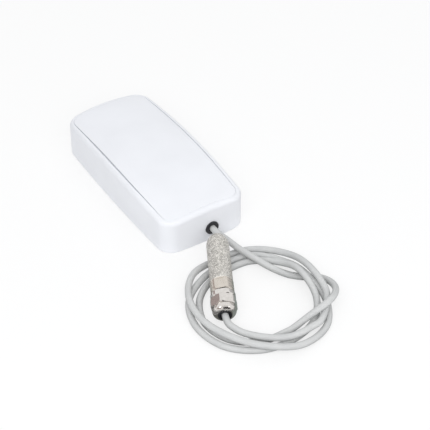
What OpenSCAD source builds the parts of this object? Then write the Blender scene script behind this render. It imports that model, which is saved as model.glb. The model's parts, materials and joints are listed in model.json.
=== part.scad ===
// Temperature and humidity sensor: a crowned wall box with a sintered filter probe on a cable.
// The box stands on Z = 0 with its cable end towards -Y.

/* [Housing] */
// Length of the box, along the way the cable leaves
body_l = 125; // [120:1:150]
// Width of the box
body_w = 60; // [56:1:75]
// Height of the box at the middle of its crown
body_h = 29; // [28:0.5:40]
// How far each long side swells at its middle
side_bulge = 1.6; // [0.5:0.1:2.5]
// How far each end swells at its middle
end_bulge = 1.3; // [0.5:0.1:2.5]
// Corner radius of the box seen from above
corner_r = 9; // [7:0.5:12]
// Drop of the crown from the middle to a long side
crown_side = 3.5; // [1:0.1:4.5]
// Drop of the crown from the middle to an end
crown_end = 4.2; // [1:0.1:5]
// Width of the rounded rim
rim_w = 2.4; // [1:0.1:3]
// Height of the rounded rim
rim_h = 2.8; // [1:0.1:4]
// Rounding of the lower edge
foot_r = 1; // [0.4:0.1:1.6]
// Thickness of the side walls
wall = 2.2; // [1.8:0.1:3]
// Thickness of the roof under the panel
roof_t = 2.2; // [1.6:0.1:3]

/* [Front panel] */
// Distance from the box outline to the recess of the panel
panel_inset = 3.4; // [3.2:0.1:6]
// Slit between the panel and the side of its recess
panel_slit = 0.3; // [0.2:0.05:0.6]
// Thickness of the panel
panel_t = 1.6; // [1.2:0.1:2]
// Gap between the panel and the floor of its recess
panel_seat = 0.15; // [0.1:0.05:0.3]
// Radius of the pegs under the panel
peg_r = 1.5; // [1:0.1:2]
// Distance of the pegs from the long sides of the box
peg_inset_x = 16; // [15:0.5:20]
// Distance of the pegs from the ends of the box
peg_inset_y = 19; // [18:0.5:24]
// How far a peg stands out below the roof
peg_tip = 0.6; // [0.3:0.1:1.5]
// Clearance round a peg
peg_gap = 0.2; // [0.15:0.05:0.4]

/* [Base plate] */
// Thickness of the base plate
base_t = 2.4; // [2:0.1:3]
// Clearance between the base plate and the housing
base_gap = 0.1; // [0.05:0.05:0.3]
// Width of the seal round the base plate
seal_w = 1.6; // [1.2:0.1:2]
// Height of the seal
seal_h = 1.8; // [1:0.1:2.4]
// Thickness of the lip inside the seal
lip_t = 1.4; // [1:0.1:2]
// Height of the lip above the plate
lip_h = 3; // [2.5:0.1:3.2]
// Radius of the wall screw holes
wall_hole_r = 2.2; // [1.6:0.1:2.6]
// Distance between the wall screw holes across the box
wall_hole_x = 22; // [20:0.5:24]
// Distance of the wall screw holes from the ends of the box
wall_hole_inset = 11.5; // [10:0.5:13]

/* [Case screws] */
// Distance of the case screws from the long sides of the box
case_screw_inset_x = 9.5; // [9:0.5:11]
// Distance of the case screws from the ends of the box
case_screw_inset_y = 11.5; // [11:0.5:13]
// Radius of a case screw's shank
case_screw_r = 1.45; // [1.2:0.05:1.7]
// Length of a case screw's shank
case_screw_l = 11; // [9:0.5:13]
// Radius of a case screw's head
case_head_r = 2.7; // [2.4:0.1:3]
// Height of a case screw's head
case_head_h = 1.8; // [1.4:0.1:2.2]
// Clearance round a case screw
case_screw_gap = 0.15; // [0.1:0.05:0.25]
// Wall round a case screw's head
case_tube_wall = 1.3; // [1:0.1:1.6]
// Wall round a case screw in the base plate
case_boss_wall = 2; // [1.5:0.1:2.5]
// Height of the base plate's screw bosses above the plate
case_boss_h = 9.6; // [8:0.2:11]
// Plastic under a case screw's head
case_seat_t = 5; // [3:0.5:6]

/* [Board] */
// Thickness of the circuit board
board_t = 1.6; // [1:0.1:2]
// Clearance between the board and the lip
board_gap_x = 1; // [0.5:0.1:2]
// Clearance between the board and the case screw bosses
board_gap_y = 0.6; // [0.4:0.1:1]
// Height of the board's posts above the plate
post_h = 2.2; // [1.8:0.1:2.6]
// Radius of the board's posts
post_r = 2.4; // [2:0.1:2.8]
// Distance of the posts from the board's edges along X
post_inset_x = 3; // [2.8:0.1:3.4]
// Distance of the posts from the board's edges along Y
post_inset_y = 5; // [4.5:0.1:6]
// Radius of a board screw's shank
board_screw_r = 1; // [0.8:0.05:1.2]
// Radius of a board screw's head
board_head_r = 1.8; // [1.5:0.1:2]
// Height of a board screw's head
board_head_h = 1.3; // [1:0.1:1.6]
// Clearance round a board screw
board_screw_gap = 0.1; // [0.05:0.05:0.2]
// Length of the radio module
radio_l = 8.5; // [7:0.1:9]
// Width of the radio module
radio_w = 17; // [12:0.5:18]
// Height of the radio module
radio_h = 2.4; // [1.5:0.1:3]
// Length of the chip antenna
antenna_l = 7; // [5:0.5:8]
// Width of the chip antenna
antenna_w = 2; // [1.5:0.1:3]
// Height of the chip antenna
antenna_h = 1.2; // [0.8:0.1:2]
// Side of the main chip
chip_w = 8; // [5:0.5:9]
// Height of the main chip
chip_h = 1.2; // [0.8:0.1:2]
// Length of the status light
led_l = 2; // [1.2:0.1:2.4]
// Height of the status light
led_h = 0.9; // [0.6:0.1:1.2]
// Side of the push switch's body
button_w = 6; // [4.5:0.1:6.5]
// Height of the push switch's body
button_h = 3.4; // [2.5:0.1:4]
// Radius of the push switch's plunger
plunger_r = 1.7; // [1.2:0.1:2]
// How far the plunger stands out of its body
plunger_h = 1.2; // [0.8:0.1:2]
// Travel of the plunger
plunger_travel = 0.25; // [0.2:0.05:0.4]
// Clearance round the plunger
plunger_gap = 0.1; // [0.05:0.05:0.2]

/* [Batteries] */
// Diameter of a battery cell
cell_d = 14.2; // [13.5:0.1:14.5]
// Length of a battery cell
cell_l = 50; // [48:0.5:50.5]
// Diameter of a cell's raised contact
nib_d = 5.5; // [4:0.1:6]
// Height of a cell's raised contact
nib_h = 1.2; // [0.8:0.1:1.6]
// Length of a contact spring, pressed
spring_l = 3; // [2:0.1:3.5]
// Thickness of a contact plate
contact_t = 0.4; // [0.3:0.05:0.6]
// Side of a contact plate
contact_w = 9; // [7:0.5:11]
// Clearance round the cells
cell_gap = 0.3; // [0.2:0.05:0.5]
// Thickness of the holder's floor
holder_t = 1.2; // [1:0.1:1.6]
// Thickness of the holder's walls
holder_wall = 1.4; // [1:0.1:1.8]
// Height of the holder's side walls above the board
holder_side_h = 9; // [6:0.5:11]

/* [Cable] */
// Diameter of the cable
cable_d = 4; // [3.6:0.1:4.1]
// Height of the cable where it leaves the box
cable_exit_z = 9.8; // [9.5:0.1:11]
// Distance of the cable's exit from the middle of the end wall
cable_exit_x = 3; // [0:0.5:4]
// Clearance round the cable
cable_gap = 0.08; // [0.05:0.01:0.15]
// Radius of the grommet's outer flange
grommet_r = 4.4; // [4:0.1:5]
// How far the grommet stands out of the end wall
grommet_out = 1.4; // [1:0.1:2]
// Radius of the grommet's neck in the wall
grommet_neck_r = 3.2; // [3:0.1:3.6]
// Thickness of the grommet's inner flange
grommet_in = 1.2; // [0.8:0.1:1.6]
// Clearance round the grommet's neck
grommet_gap = 0.1; // [0.05:0.05:0.2]
// Width of the cable tie
tie_w = 2.6; // [2:0.1:3]
// Thickness of the cable tie
tie_t = 1; // [0.8:0.1:1.4]
// Length of the bare wires inside the box
wire_l = 3.5; // [2.5:0.1:4]
// Radius of a wire
wire_r = 0.6; // [0.4:0.05:0.65]
// Distance between the wires
wire_pitch = 1.3; // [1.3:0.05:1.4]
// Width of the plug and of its socket
plug_w = 10; // [8:0.5:12]
// Length of the plug outside the socket
plug_l = 4.5; // [3:0.1:4.8]
// Height of the plug
plug_h = 4.6; // [4:0.1:5]
// Depth of the board socket
socket_l = 6; // [4:0.5:7]
// Height of the board socket
socket_h = 5.4; // [5:0.1:7]

/* [Probe] */
// Heading of the probe's axis, turned from +X
probe_heading = 62; // [60:0.5:64]
// Tilt of the probe's axis above level
probe_tilt = 5.2; // [5:0.1:6]
// Width across the flats of the gland nut
nut_af = 14; // [13.8:0.1:14.2]
// Diameter over the nut's turned corners
nut_d = 15.5; // [15:0.1:15.6]
// Length of the gland nut
nut_l = 10; // [9:0.1:11]
// Length of the nut's dome
dome_l = 3.5; // [2.5:0.1:4]
// Radius of the nut's mouth
mouth_r = 3.6; // [3.4:0.05:3.8]
// Thickness of the lip at the nut's mouth
mouth_t = 1.6; // [1.2:0.1:2]
// Radius of the gland's rear thread
rear_thread_r = 5.3; // [5:0.1:5.4]
// Running clearance in the threads
thread_gap = 0.2; // [0.15:0.05:0.3]
// Width across the flats of the gland's collar
collar_af = 13.2; // [12.8:0.1:13.6]
// Diameter over the collar's turned corners
collar_d = 14.4; // [14:0.1:14.8]
// Length of the collar
collar_l = 3.8; // [3:0.1:4.5]
// Radius of the gland's front thread
front_thread_r = 4.8; // [4.6:0.1:5]
// Length of the gland's front thread
front_thread_l = 6; // [5:0.1:7]
// Radius of the hollow for the sensor board
pocket_r = 3.7; // [3.6:0.05:3.9]
// Thickness of the clamping ring's claws
claw_t = 0.85; // [0.7:0.05:0.9]
// Number of claws
claw_n = 16; // [12:1:18]
// Length of the rubber sleeve in the gland
sleeve_l = 3; // [2:0.1:3.5]
// Thickness of the O-ring
o_ring_t = 1.1; // [0.9:0.05:1.3]
// Diameter of the filter's steel base
filter_base_d = 13.6; // [13.4:0.1:14]
// Width across the wrench flats of the filter's base
filter_af = 12.4; // [12:0.1:13]
// Length of the filter's steel base
filter_base_l = 8.2; // [7.5:0.1:9]
// Length of the base's spigot in the filter
filter_spigot_l = 3.5; // [2:0.1:5]
// Radius of that spigot
filter_spigot_r = 5.6; // [5.5:0.05:5.8]
// Diameter of the sintered filter
filter_d = 13.4; // [13:0.1:13.6]
// Length of the sintered filter
filter_l = 37.5; // [34:0.5:38]
// Rounding of the filter's tip
filter_tip_r = 4; // [3:0.1:5]
// Rise of the filter's end inside that rounding
filter_dome = 0.8; // [0.4:0.1:1.2]
// Thickness of the filter's wall
filter_wall = 2; // [1.5:0.1:2.4]
// Clearance of the seats in the probe
probe_seat = 0.1; // [0.05:0.05:0.2]
// Width of the sensor board
sensor_board_w = 6.4; // [5:0.1:6.6]
// Thickness of the sensor board
sensor_board_t = 1; // [0.8:0.1:1.2]
// Length of the sensor board
sensor_board_l = 31; // [26:0.5:34]
// Side of the sensor chip
sensor_chip_w = 2.5; // [2:0.1:3]
// Height of the sensor chip
sensor_chip_h = 0.9; // [0.6:0.1:1.2]

/* [Hidden] */
$fn = 48;

// Half sides of the box before they swell
half_w = body_w / 2 - side_bulge;
half_l = body_l / 2 - end_bulge;
// Points on each corner's arc, each long side and each end
arc_n = 6;
side_n = 6;
end_n = 4;
least_corner = 0.8;
// Rings over the crown, from its edge to its middle
crown_steps = [1, 0.75, 0.5, 0.25];
rim_steps = [0, 18, 36, 54, 72, 90];
foot_steps = [0, 45, 90];

// Depths below the crown
recess_depth = panel_t + panel_seat;
ceiling_depth = recess_depth + roof_t;

// Insets of the base plate, the lip and the seal
base_inset = wall + base_gap;
lip_inset = base_inset + seal_w + base_gap;
board_inset = lip_inset + lip_t;

// Case screws
case_screw_x = body_w / 2 - case_screw_inset_x;
case_screw_y = body_l / 2 - case_screw_inset_y;
case_hole_r = case_screw_r + case_screw_gap;
case_counterbore_r = case_head_r + case_screw_gap;
case_tube_r = case_counterbore_r + case_tube_wall;
case_boss_r = case_hole_r + case_boss_wall;
case_boss_z = base_t + case_boss_h;
case_seat_z = case_boss_z + case_seat_t;

// Wall screws and panel pegs
wall_hole_y = body_l - 2 * wall_hole_inset;
peg_x = body_w / 2 - peg_inset_x;
peg_y = body_l / 2 - peg_inset_y;

// Board, as long as the battery holder and the strips of small pieces at its ends need
edge_gap = 0.8;
holder_in_l = cell_l + nib_h + spring_l + 2 * contact_t;
holder_l = holder_in_l + 2 * holder_wall;
strip_l = max(radio_l, chip_w, button_w + edge_gap + led_l / 2, socket_l) + 3 * edge_gap;
board_w = 2 * (half_w - board_inset - board_gap_x);
board_l = holder_l + 2 * strip_l;
board_z = base_t + post_h;
board_top = board_z + board_t;
post_x = board_w / 2 - post_inset_x;
post_y = board_l / 2 - post_inset_y;
board_hole_r = board_screw_r + board_screw_gap;
board_screw_l = board_t + post_h;

// Batteries, set a little towards the far end so that the plug end has room
holder_shift = 1;
cell_pitch = cell_d + 2 * cell_gap + holder_wall;
holder_w = 2 * (cell_d + 2 * cell_gap) + 3 * holder_wall;
cell_z = board_top + holder_t + cell_gap + cell_d / 2;
holder_end_h = cell_z + contact_w / 2 - board_top;
cell_low_y = holder_shift - holder_in_l / 2 + contact_t + spring_l;

// Cable and what holds it
cable_r = cable_d / 2;
front_y = -body_l / 2;
cable_bore_r = cable_r + cable_gap;
plug_y = -board_l / 2 - plug_l;
cable_end_y = plug_y - wire_l;
tie_y = cable_end_y - tie_w;
tie_r = cable_bore_r + tie_t;
saddle_w = 2 * tie_r;
// Square through the middle of the cable's end, for the wires
wire_side = wire_pitch / 2;

// Gland and filter, measured along the probe's axis from the mouth of the nut
probe_mouth = [-28.5, -126, 7.5];
nut_roll = 15;
collar_z = nut_l;
o_ring_z = collar_z + collar_l;
o_ring_r = o_ring_t / 2;
filter_base_z = o_ring_z + o_ring_r;
filter_shell_z = filter_base_z + filter_base_l;
filter_tip_z = filter_shell_z + filter_l;
nut_bore_r = rear_thread_r + thread_gap;
base_bore_r = front_thread_r + thread_gap;
claw_r = mouth_r - probe_seat;
claw_bore_r = claw_r - claw_t;
claw_slot = 0.5;
claw_collar_l = 2.5;
claw_collar_z = mouth_t + probe_seat;
rear_thread_z = claw_collar_z + claw_collar_l + probe_seat;
sleeve_r = rear_thread_r - 1.2;
pocket_z = collar_z + 2.5;
edge_break = 0.5;
sensor_end_z = pocket_z + sensor_board_l;

// Route of the cable: from the box, over the back of the coil and round its right side
lead_in = [
    [3.5, -69.5, 9.3], [5.5, -74, 8], [7, -78.5, 7.1], [8, -83.5, 6.8], [9.5, -89, 6.6],
    [11, -94.5, 6.6], [13, -100.5, 6.3], [16, -105.5, 4.8], [20, -110.5, 3], [24, -115, 2],
    [28.5, -119.5, 2], [33, -122.5, 2], [37, -126, 2.2], [39, -131, 3.2], [38.5, -137, 5],
    [36, -142.5, 7.2], [32, -147, 9.4], [27.5, -150.5, 11.2], [22.5, -152.5, 11.6],
    [17.5, -153, 10.6], [12, -152.5, 8], [7, -152, 5.4], [2, -152, 3.5]
];
// Radius and height of the coil's turns at every twelfth of a turn, clockwise from the front
coil_middle = [-4, -122];
coil_start = 270;
coil_step = 30;
coil_turns = [
    [30, 2.5], [32.5, 2], [35, 2], [35, 2], [33, 2], [31, 2],
    [30.5, 2], [33, 2], [31.5, 5.5], [29.5, 10.5], [33.5, 4.5], [35.5, 2],
    [36.5, 2], [39, 2], [41, 2], [40.5, 2], [39, 2], [36, 2],
    [35.5, 2], [38, 2], [36, 2.5], [33, 6.8], [39, 2], [43.5, 2],
    [44, 4.2], [40, 6.8], [36.5, 6.6], [37, 6.5], [39, 6.6], [41, 5],
    [40.5, 2], [43, 2], [40, 5.5], [36, 10.5], [39.5, 6.8], [40.5, 6.7]
];
// From the coil to the gland
lead_out = [
    [6.5, -159.5, 6.6], [-3, -160, 6.6], [-10.5, -158, 6.6], [-17, -154, 6.6],
    [-22.5, -149, 6.6], [-27, -143.5, 6.6], [-29.5, -138, 6.7], [-30.5, -132.5, 7]
];
cable_sides = 8;
// The gap is measured on this many points between two points of the route
gap_steps = 4;
// Stretches nearer than this along the cable are neighbours, not a crossing
gap_skip = 16;

// Height of the crown over a point
function crown(p) = body_h - crown_side * pow(2 * p.x / body_w, 2) - crown_end * pow(2 * p.y / body_l, 2);

// A point of the rounded rectangle, moved out by the swell of the sides and ends
function swell(p) = [
    p.x * (1 + side_bulge / half_w * (1 - pow(p.y / half_l, 2))),
    p.y * (1 + end_bulge / half_l * (1 - pow(p.x / half_w, 2)))
];

// One corner's arc with the straight points that follow it, for the quadrant q
function corner_points(q, w, l, r) =
    let (sx = [1, -1, -1, 1][q], sy = [1, 1, -1, -1][q], n = q % 2 == 0 ? end_n : side_n)
    let (arc = [for (i = [0 : arc_n]) let (t = 90 * (q + i / arc_n))
        [sx * (w - r) + r * cos(t), sy * (l - r) + r * sin(t)]])
    let (last = arc[arc_n], next = q % 2 == 0 ? [-last.x, last.y] : [last.x, -last.y])
    concat(arc, [for (i = [1 : n]) last + (next - last) * i / (n + 1)]);

// Outline of the box seen from above, moved in by k
function outline(k) =
    let (w = half_w - k, l = half_l - k, r = max(corner_r - k, least_corner))
    [for (q = [0 : 3]) for (p = corner_points(q, w, l, r)) swell(p)];

// Rings of points on the outline, level or at a depth below the crown
function level_ring(k, z) = [for (p = outline(k)) [p.x, p.y, z]];
function crown_ring(k, depth, s = 1) = [for (p = outline(k)) [p.x * s, p.y * s, crown(p * s) - depth]];
function crown_rings(k, depth) = [for (s = crown_steps) crown_ring(k, depth, s)];
function rim_ring(t) =
    let (inner = outline(rim_w), outer = outline(rim_w * (1 - cos(t))))
    [for (i = [0 : len(inner) - 1]) [outer[i].x, outer[i].y, crown(inner[i]) - rim_h * (1 - sin(t))]];
function foot_ring(t) = level_ring(foot_r * (1 - sin(t)), foot_r * (1 - cos(t)));
function reversed(list) = [for (i = [len(list) - 1 : -1 : 0]) list[i]];

// Solid through a list of rings, closed at both ends to the middle of the end ring
module loft(rings, first_middle, last_middle) {
    n = len(rings[0]);
    count = len(rings);
    points = concat([for (ring = rings) for (p = ring) p], [first_middle, last_middle]);
    first = n * count;
    sides = [for (j = [0 : count - 2]) for (i = [0 : n - 1])
        let (a = j * n + i, b = j * n + (i + 1) % n, c = a + n, d = b + n)
        each [[a, c, b], [b, c, d]]];
    starts = [for (i = [0 : n - 1]) [first, i, (i + 1) % n]];
    ends = [for (i = [0 : n - 1]) [first + 1, n * (count - 1) + (i + 1) % n, n * (count - 1) + i]];
    polyhedron(points = points, faces = concat(starts, sides, ends), convexity = 8);
}

// Plain block under the crown, from z up to a depth below it
module crowned_block(k, z, depth) {
    rings = concat([level_ring(k, z)], crown_rings(k, depth));
    loft(rings, [0, 0, z], [0, 0, body_h - depth]);
}

// Band between two outlines
module outline_band(outer, inner, h) {
    linear_extrude(h) difference() {
        polygon(outline(outer));
        polygon(outline(inner));
    }
}

// Copies at the four corners of a rectangle
module at_corners(x, y) {
    for (sx = [-1, 1], sy = [-1, 1]) translate([sx * x, sy * y, 0]) children();
}

module case_screw_places() {
    at_corners(case_screw_x, case_screw_y) children();
}

// Box that stands on z, centred on x and y
module block(x, y, z, size) {
    translate([x - size.x / 2, y - size.y / 2, z]) cube(size);
}

// Places a shape whose axis is +Z on the way the cable leaves the box
module on_exit() {
    translate([cable_exit_x, front_y, cable_exit_z]) rotate([90, 0, 0]) children();
}

// Places a shape whose axis is +Z on the probe's axis
module on_probe() {
    translate(probe_mouth) rotate([0, 90 - probe_tilt, probe_heading]) children();
}

function probe_point(s) = probe_mouth + s * [
    cos(probe_tilt) * cos(probe_heading), cos(probe_tilt) * sin(probe_heading), sin(probe_tilt)
];

module ring(outer, inner, h) {
    difference() {
        cylinder(r = outer, h = h);
        translate([0, 0, -1]) cylinder(r = inner, h = h + 2);
    }
}

// Hexagon across flats, with a flat towards +X before it is rolled
module hex_prism(af, h, roll) {
    rotate([0, 0, 30 + roll]) cylinder(d = af / cos(30), h = h, $fn = 6);
}

// Housing

module housing_shell() {
    ceiling = reversed(crown_rings(wall, ceiling_depth));
    rings = concat(
        ceiling,
        [level_ring(wall, 0)],
        [for (t = foot_steps) foot_ring(t)],
        [for (t = rim_steps) rim_ring(t)],
        [crown_ring(panel_inset, 0)],
        crown_rings(panel_inset, recess_depth)
    );
    loft(rings, [0, 0, body_h - ceiling_depth], [0, 0, body_h - recess_depth]);
}

module case_tubes() {
    intersection() {
        crowned_block(wall + base_gap, case_boss_z, recess_depth + roof_t / 2);
        case_screw_places() cylinder(r = case_tube_r, h = body_h);
    }
}

module housing() {
    color("white") difference() {
        union() {
            housing_shell();
            case_tubes();
        }
        case_screw_places() cylinder(r = case_hole_r, h = body_h);
        case_screw_places() translate([0, 0, case_seat_z]) cylinder(r = case_counterbore_r, h = body_h);
        at_corners(peg_x, peg_y) translate([0, 0, case_boss_z]) cylinder(r = peg_r + peg_gap, h = body_h);
        on_exit() translate([0, 0, -2 * wall]) cylinder(r = grommet_neck_r + grommet_gap, h = 4 * wall);
    }
}

module front_panel() {
    inset = panel_inset + panel_slit;
    peg_top = crown([peg_x, peg_y]) - panel_t;
    color("whitesmoke") union() {
        loft(
            concat(reversed(crown_rings(inset, panel_t)), crown_rings(inset, 0)),
            [0, 0, body_h - panel_t],
            [0, 0, body_h]
        );
        at_corners(peg_x, peg_y) translate([0, 0, peg_top - panel_seat - roof_t - peg_tip])
            cylinder(r = peg_r, h = panel_seat + roof_t + peg_tip + panel_t / 2);
    }
}

// Base plate and seal

module base_plate() {
    saddle_h = cable_exit_z - tie_r;
    color("gainsboro") difference() {
        union() {
            linear_extrude(base_t) polygon(outline(base_inset));
            translate([0, 0, base_t]) outline_band(lip_inset, board_inset, lip_h);
            case_screw_places() cylinder(r = case_boss_r, h = case_boss_z);
            at_corners(post_x, post_y) cylinder(r = post_r, h = board_z);
            block(cable_exit_x, tie_y, 0, [saddle_w, tie_w, saddle_h]);
        }
        case_screw_places() translate([0, 0, base_t]) cylinder(r = case_hole_r, h = body_h);
        at_corners(post_x, post_y) translate([0, 0, base_t]) cylinder(r = board_hole_r, h = body_h);
        at_corners(wall_hole_x / 2, wall_hole_y / 2) translate([0, 0, -1]) cylinder(r = wall_hole_r, h = body_h);
    }
}

module base_seal() {
    color("dimgray") translate([0, 0, base_t]) outline_band(wall + base_gap, wall + base_gap + seal_w, seal_h);
}

module housing_screws() {
    color("silver") case_screw_places() translate([0, 0, case_seat_z]) {
        translate([0, 0, -case_screw_l]) cylinder(r = case_screw_r, h = case_screw_l + case_head_h / 2);
        cylinder(r = case_head_r, h = case_head_h);
    }
}

// Board and what is soldered to it

module main_board() {
    color("seagreen") difference() {
        block(0, 0, board_z, [board_w, board_l, board_t]);
        at_corners(post_x, post_y) cylinder(r = board_hole_r, h = body_h);
        case_screw_places() cylinder(r = case_boss_r + board_gap_y, h = body_h);
    }
}

module board_screws() {
    color("silver") at_corners(post_x, post_y) translate([0, 0, board_top]) {
        translate([0, 0, -board_screw_l]) cylinder(r = board_screw_r, h = board_screw_l + board_head_h / 2);
        cylinder(r = board_head_r, h = board_head_h);
    }
}

radio_x = -board_w / 8;
radio_y = board_l / 2 - edge_gap - radio_l / 2;
antenna_x = board_w / 4;
antenna_y = board_l / 2 - edge_gap - antenna_w / 2;
chip_x = -board_w / 4;
chip_y = -board_l / 2 + edge_gap + chip_w / 2;
button_x = board_w / 4 + 1;
button_y = -board_l / 2 + edge_gap + button_w / 2;
led_y = button_y + button_w / 2 + edge_gap + led_l / 4;

module radio_module() {
    color("lightgray") block(radio_x, radio_y, board_top, [radio_w, radio_l, radio_h]);
}

module antenna() {
    color("ivory") block(antenna_x, antenna_y, board_top, [antenna_l, antenna_w, antenna_h]);
}

module main_chip() {
    color("black") block(chip_x, chip_y, board_top, [chip_w, chip_w, chip_h]);
}

module status_led() {
    color("palegreen") block(button_x, led_y, board_top, [led_l, led_l / 2, led_h]);
}

plunger_z = board_top + button_h - plunger_travel - 1;

module button_body() {
    color("dimgray") difference() {
        block(button_x, button_y, board_top, [button_w, button_w, button_h]);
        translate([button_x, button_y, plunger_z - plunger_travel - plunger_gap])
            cylinder(r = plunger_r + plunger_gap, h = button_h);
    }
}

module button_plunger() {
    color("white") translate([button_x, button_y, plunger_z])
        cylinder(r = plunger_r, h = board_top + button_h + plunger_h - plunger_z);
}

// Batteries

module cell_places() {
    for (side = [-1, 1]) translate([side * cell_pitch / 2, 0, cell_z]) children();
}

module battery_holder() {
    in_w = cell_d + 2 * cell_gap;
    color("black") difference() {
        union() {
            block(0, holder_shift, board_top, [holder_w, holder_l, holder_side_h]);
            for (end = [-1, 1])
                block(0, holder_shift + end * (holder_l - holder_wall) / 2, board_top,
                    [holder_w, holder_wall, holder_end_h]);
        }
        for (side = [-1, 1])
            block(side * cell_pitch / 2, holder_shift, board_top + holder_t, [in_w, holder_in_l, body_h]);
    }
}

// A cell along +Y, its raised contact at the far end
module battery_cell(side) {
    color("steelblue") translate([side * cell_pitch / 2, cell_low_y, cell_z]) rotate([-90, 0, 0]) {
        cylinder(d = cell_d, h = cell_l);
        cylinder(d = nib_d, h = cell_l + nib_h);
    }
}

module battery_cell_left() {
    battery_cell(-1);
}

module battery_cell_right() {
    battery_cell(1);
}

module battery_springs() {
    wide_r = contact_w / 2 - 0.5;
    color("silver") cell_places() translate([0, cell_low_y - spring_l, 0]) rotate([-90, 0, 0])
        cylinder(r1 = wide_r, r2 = nib_d / 2, h = spring_l);
}

module battery_contacts() {
    color("silver") cell_places() for (y = [cell_low_y - spring_l - contact_t, cell_low_y + cell_l + nib_h])
        translate([-contact_w / 2, y, -contact_w / 2]) cube([contact_w, contact_t, contact_w]);
}

// Cable inside the box

module board_socket() {
    color("ivory") block(cable_exit_x, -board_l / 2 + socket_l / 2, board_top, [plug_w, socket_l, socket_h]);
}

module cable_plug() {
    plug_z = board_top + socket_h - plug_h;
    color("linen") block(cable_exit_x, plug_y + plug_l / 2, plug_z, [plug_w, plug_l, plug_h]);
}

module lead_wires() {
    color("firebrick") for (sx = [-1, 1], sz = [-1, 1])
        translate([cable_exit_x + sx * wire_side, cable_end_y, cable_exit_z + sz * wire_side]) rotate([-90, 0, 0])
            cylinder(r = wire_r, h = wire_l);
}

module cable_tie() {
    head = 2.4 * tie_t + 1.6;
    color("black") translate([cable_exit_x, tie_y + tie_w / 2, cable_exit_z]) rotate([90, 0, 0]) difference() {
        union() {
            cylinder(r = tie_r, h = tie_w);
            translate([-head / 2, 0, 0]) cube([head, tie_r + tie_t, tie_w]);
        }
        translate([0, 0, -1]) cylinder(r = cable_bore_r, h = tie_w + 2);
    }
}

module cable_grommet() {
    inner_z = -wall - 2 * grommet_gap;
    color("black") on_exit() rotate_extrude() polygon([
        [cable_bore_r, inner_z - grommet_in],
        [grommet_r - edge_break, inner_z - grommet_in],
        [grommet_r - edge_break, inner_z],
        [grommet_neck_r, inner_z],
        [grommet_neck_r, grommet_gap],
        [grommet_r, grommet_gap],
        [grommet_r, grommet_out - edge_break],
        [grommet_r - edge_break, grommet_out],
        [cable_bore_r, grommet_out]
    ]);
}

// Cable

coil_points = [for (i = [0 : len(coil_turns) - 1])
    let (t = coil_start - coil_step * i, r = coil_turns[i].x)
    [coil_middle.x + r * cos(t), coil_middle.y + r * sin(t), coil_turns[i].y]];
lead_from_box = [for (y = [cable_end_y, front_y, front_y - cable_d]) [cable_exit_x, y, cable_exit_z]];
lead_to_gland = [for (s = [0, cable_d, pocket_z]) probe_point(s)];
route = concat(lead_from_box, lead_in, coil_points, lead_out, lead_to_gland);
coil_first = len(lead_from_box) + len(lead_in);
coil_last = coil_first + len(coil_points) - 1;

// Smooth curve through the route, at the share t of the way from point i to the next
function at_route(i) = route[min(max(i, 0), len(route) - 1)];
function between(i, t) =
    let (a = at_route(i - 1), b = at_route(i), c = at_route(i + 1), d = at_route(i + 2))
    let (p = b + t / 2 * (c - a + t * (2 * a - 5 * b + 4 * c - d + t * (3 * b - a - 3 * c + d))))
    [p.x, p.y, max(p.z, cable_r)];
function finer(from, to, n) = [for (i = [from : to - 1]) for (k = [0 : n - 1]) between(i, k / n)];
// Straight ends stay as they are, and the coil has two rings to each of its points
centre_line = concat(
    [for (i = [0 : coil_first - 1]) route[i]],
    finer(coil_first, coil_last, 2),
    [for (i = [coil_last : len(route) - 1]) route[i]]
);

function unit(v) = v / norm(v);
function along(list, i) = unit(list[min(i + 1, len(list) - 1)] - list[max(i - 1, 0)]);
function cable_ring(i) =
    let (t = along(centre_line, i), side = unit(cross([0, 0, 1], t)), up = cross(t, side))
    [for (k = [0 : cable_sides - 1]) let (a = 360 * k / cable_sides)
        centre_line[i] + cable_r * (cos(a) * side + sin(a) * up)];

// Least gap of the cable to itself
gap_line = finer(0, len(route) - 1, gap_steps);
least_gap = min([for (i = [0 : len(gap_line) - 1 - gap_skip]) for (j = [i + gap_skip : len(gap_line) - 1])
    norm(gap_line[i] - gap_line[j])]) - cable_d;
function path_length(list, i = 1) = i >= len(list) ? 0 : norm(list[i] - list[i - 1]) + path_length(list, i + 1);
echo(cable_least_gap = least_gap, cable_length = path_length(gap_line));

module cable() {
    last = len(centre_line) - 1;
    color("lightgray") loft([for (i = [0 : last]) cable_ring(i)], centre_line[0], centre_line[last]);
}

// Gland

module gland_nut() {
    corner_r = nut_d / 2;
    color("silver") on_probe() difference() {
        intersection() {
            hex_prism(nut_af, nut_l - probe_seat, nut_roll);
            rotate_extrude() polygon([
                [0, 0],
                [mouth_r + 1.2, 0],
                [mouth_r + 2.4, dome_l * 0.25],
                [corner_r - 0.9, dome_l * 0.6],
                [corner_r, dome_l],
                [corner_r, nut_l - edge_break - probe_seat],
                [corner_r - edge_break, nut_l - probe_seat],
                [0, nut_l - probe_seat]
            ]);
        }
        translate([0, 0, -1]) cylinder(r = mouth_r, h = nut_l);
        translate([0, 0, mouth_t]) cylinder(r = nut_bore_r, h = nut_l);
    }
}

module gland_claw() {
    claw_end = claw_collar_z + claw_collar_l;
    color("black") on_probe() difference() {
        union() {
            translate([0, 0, edge_break]) cylinder(r = claw_r, h = claw_end - edge_break);
            translate([0, 0, claw_collar_z]) cylinder(r = rear_thread_r, h = claw_collar_l);
        }
        translate([0, 0, -1]) cylinder(r = claw_bore_r, h = nut_l);
        for (i = [0 : claw_n - 1]) rotate([0, 0, 360 * i / claw_n])
            translate([cable_r, -claw_slot / 2, -1]) cube([mouth_r - cable_r, claw_slot, claw_collar_z + 0.5]);
    }
}

module gland_seal() {
    color("dimgray") on_probe() translate([0, 0, collar_z - sleeve_l]) ring(sleeve_r - probe_seat, cable_bore_r, sleeve_l);
}

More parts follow.
